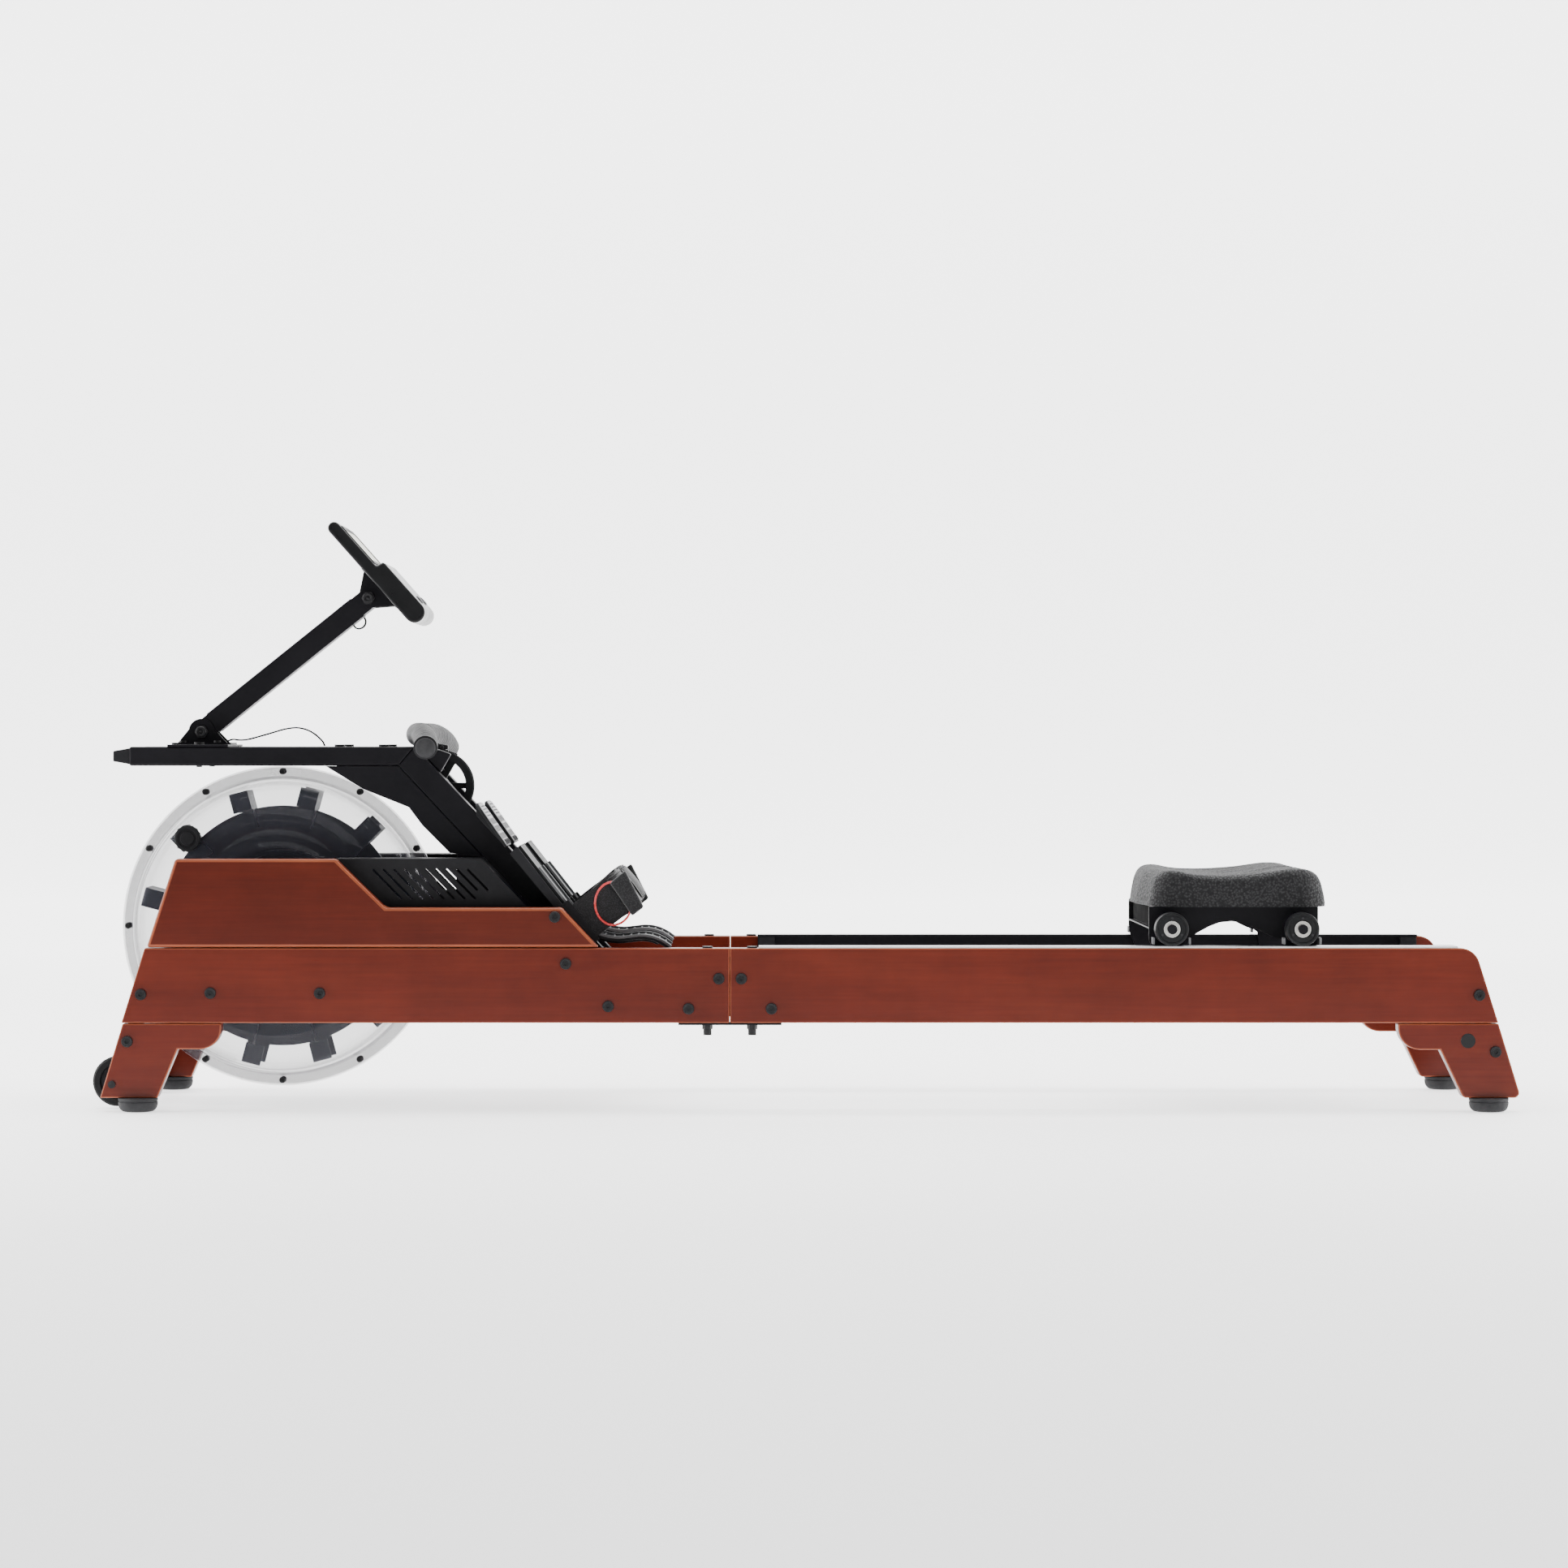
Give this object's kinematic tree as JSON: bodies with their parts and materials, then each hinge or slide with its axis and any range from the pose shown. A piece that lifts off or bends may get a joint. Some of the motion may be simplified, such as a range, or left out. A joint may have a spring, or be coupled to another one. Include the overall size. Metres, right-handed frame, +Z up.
{
  "type": "rowing machine",
  "caption": "Water-resistance rowing machine: wooden frame, clear paddle tank under a steel post, folding monitor arm, sliding seat and strapped footrests.",
  "frame": {"origin": "centre of the bottom of the bounding box, on the floor under the feet", "axes": "+X from the tank to the rower's seat end, -Y the rower's left side, +Z up"},
  "size_m": [1.92, 0.4396, 0.7959],
  "materials": {
    "lacquered_wood": "red-brown lacquer over faint straight grain",
    "black_steel": "satin black powder coat",
    "zinc_steel": "plain zinc-plated steel",
    "black_fasteners": "black oxide screws and nuts",
    "clear_tank": "clear, slightly lavender polycarbonate",
    "seal_rubber": "dark soft seal",
    "navy_plastic": "dark navy moulded plastic",
    "black_plastic": "black moulded plastic with a fine texture",
    "gloss_black": "glossy black moulded plastic",
    "display": "pale grey display window",
    "grey_plastic": "dark grey moulded plastic",
    "belt_webbing": "woven black belt",
    "belt_rubber": "ribbed drive belt",
    "grip_rubber": "fine-grained grip rubber",
    "foot_rubber": "dark grey rubber",
    "wheel_urethane": "hard black polyurethane",
    "strap_webbing": "black hook-and-loop strap",
    "ring_red": "red coated wire",
    "track_aluminium": "anodised strip",
    "pad_foam": "pebbled moulded black skin",
    "cable_jacket": "thin black cable jacket"
  },
  "bodies": {
    "frame": {"front_rails": "lacquered_wood", "rear_rails": "lacquered_wood", "tank_panels": "lacquered_wood", "front_legs": "lacquered_wood", "rear_legs": "lacquered_wood", "cross_boards": "lacquered_wood", "joint_plates": "black_steel", "top_tubes": "black_steel", "tube_plugs": "black_plastic", "monitor_mount_plate": "black_steel", "post_tubes": "black_steel", "gusset_plates": "black_steel", "tank_brackets": "black_steel", "vent_covers": "black_plastic", "left_tank_shell": "clear_tank", "right_tank_shell": "clear_tank", "tank_seal": "seal_rubber", "tank_screws": "black_fasteners", "tank_bearings": "zinc_steel", "pulley_axles": "zinc_steel", "foot_bases": "black_plastic", "foot_plates": "grey_plastic", "foot_straps": "strap_webbing", "strap_rings": "ring_red", "track_strips": "track_aluminium", "track_channels": "black_steel", "track_end_stops": "black_plastic", "rubber_feet": "foot_rubber", "frame_bolts": "black_fasteners", "frame_nuts": "black_fasteners", "arm_bracket": "black_steel", "sensor_cable": "cable_jacket", "transfer_belt": "belt_rubber", "drive_belt": "belt_webbing"},
    "fill_plug": {"fill_plug": "seal_rubber"},
    "impeller": {"impeller": "navy_plastic", "impeller_shaft": "zinc_steel"},
    "transfer_pulley": {"transfer_pulley": "black_plastic"},
    "drive_drum": {"drive_drum": "black_plastic"},
    "guide_pulley": {"guide_pulley": "black_plastic"},
    "handle": {"handle_bar": "black_steel", "handle_grips": "grip_rubber", "grip_caps": "grey_plastic"},
    "arm": {"monitor_arm": "black_steel", "tilt_pivot_bolt": "black_fasteners", "monitor_lead": "cable_jacket"},
    "monitor": {"monitor_bracket": "black_steel", "monitor_case": "gloss_black", "monitor_screen": "display"},
    "mode_button": {"mode_button": "grey_plastic"},
    "reset_button": {"reset_button": "grey_plastic"},
    "seat": {"seat_pad": "pad_foam", "seat_carriage": "black_steel"},
    "front_seat_wheels": {"front_seat_wheels": "wheel_urethane"},
    "rear_seat_wheels": {"rear_seat_wheels": "wheel_urethane"},
    "front_guide_rollers": {"front_guide_rollers": "wheel_urethane"},
    "rear_guide_rollers": {"rear_guide_rollers": "wheel_urethane"},
    "transport_wheels": {"transport_wheels": "wheel_urethane"},
    "left_heel": {"left_heel_slider": "black_plastic"},
    "right_heel": {"right_heel_slider": "black_plastic"}
  },
  "joints": [
    {"name": "arm_fold", "type": "hinge", "parent": "frame", "child": "arm", "pos_m": [-0.8275, 0, 0.5096], "axis": [0, -1, 0], "range_deg": [-10, 50]},
    {"name": "monitor_tilt", "type": "hinge", "parent": "arm", "child": "monitor", "pos_m": [-0.59735, 0, 0.69398], "axis": [0, 1, 0], "range_deg": [-25, 52]},
    {"name": "mode_press", "type": "slide", "parent": "monitor", "child": "mode_button", "axis": [-0.7478, 0, -0.6639], "range_m": [0, 0.001], "stiffness_N_per_m": 300, "springref_m": -0.0005},
    {"name": "reset_press", "type": "slide", "parent": "monitor", "child": "reset_button", "axis": [-0.7478, 0, -0.6639], "range_m": [0, 0.001], "stiffness_N_per_m": 300, "springref_m": -0.0005},
    {"name": "handle_pull", "type": "slide", "parent": "frame", "child": "handle", "axis": [0.9925, 0, 0.1219], "range_m": [0, 1.1], "stiffness_N_per_m": 8, "springref_m": -0.1},
    {"name": "guide_pulley_spin", "type": "hinge", "parent": "frame", "child": "guide_pulley", "pos_m": [-0.501, 0, 0.435], "axis": [0, 1, 0], "range_deg": [0, 1310]},
    {"name": "drum_spin", "type": "hinge", "parent": "frame", "child": "drive_drum", "pos_m": [-0.44, 0, 0.232], "axis": [0, 1, 0], "range_deg": [-1235, 0]},
    {"name": "impeller_spin", "type": "hinge", "parent": "frame", "child": "impeller", "pos_m": [-0.717, 0, 0.2415], "axis": [0, 1, 0], "continuous": true},
    {"name": "transfer_spin", "type": "hinge", "parent": "frame", "child": "transfer_pulley", "pos_m": [-0.44, 0, 0.232], "axis": [0, 1, 0], "continuous": true},
    {"name": "seat_slide", "type": "slide", "parent": "frame", "child": "seat", "axis": [1, 0, 0], "range_m": [-0.5, 0.165]},
    {"name": "front_wheel_spin", "type": "hinge", "parent": "seat", "child": "front_seat_wheels", "pos_m": [0.4947, 0, 0.2444], "axis": [0, 1, 0], "range_deg": [-1280, 430]},
    {"name": "rear_wheel_spin", "type": "hinge", "parent": "seat", "child": "rear_seat_wheels", "pos_m": [0.6699, 0, 0.2444], "axis": [0, 1, 0], "range_deg": [-1280, 430]},
    {"name": "front_roller_spin", "type": "hinge", "parent": "seat", "child": "front_guide_rollers", "pos_m": [0.4947, 0, 0.2047], "axis": [0, 1, 0], "range_deg": [-690, 2060]},
    {"name": "rear_roller_spin", "type": "hinge", "parent": "seat", "child": "rear_guide_rollers", "pos_m": [0.6699, 0, 0.2047], "axis": [0, 1, 0], "range_deg": [-690, 2060]},
    {"name": "transport_wheel_spin", "type": "hinge", "parent": "frame", "child": "transport_wheels", "pos_m": [-0.926, 0, 0.0365], "axis": [0, 1, 0], "continuous": true},
    {"name": "left_heel_slide", "type": "slide", "parent": "frame", "child": "left_heel", "axis": [0.6157, 0, -0.788], "range_m": [-0.025, 0.018]},
    {"name": "right_heel_slide", "type": "slide", "parent": "frame", "child": "right_heel", "axis": [0.6157, 0, -0.788], "range_m": [-0.025, 0.018]},
    {"name": "plug_pull", "type": "slide", "parent": "frame", "child": "fill_plug", "axis": [0, -1, 0], "range_m": [0, 0.03]}
  ],
  "couplings": [
    {"joint": "guide_pulley_spin", "follows": "handle_pull", "rad_per_m": 20.661},
    {"joint": "drum_spin", "follows": "handle_pull", "rad_per_m": -19.455},
    {"joint": "transfer_spin", "follows": "impeller_spin", "ratio": 0.5606},
    {"joint": "front_wheel_spin", "follows": "seat_slide", "rad_per_m": 44.444},
    {"joint": "rear_wheel_spin", "follows": "seat_slide", "rad_per_m": 44.444},
    {"joint": "front_roller_spin", "follows": "seat_slide", "rad_per_m": -71.429},
    {"joint": "rear_roller_spin", "follows": "seat_slide", "rad_per_m": -71.429}
  ]
}
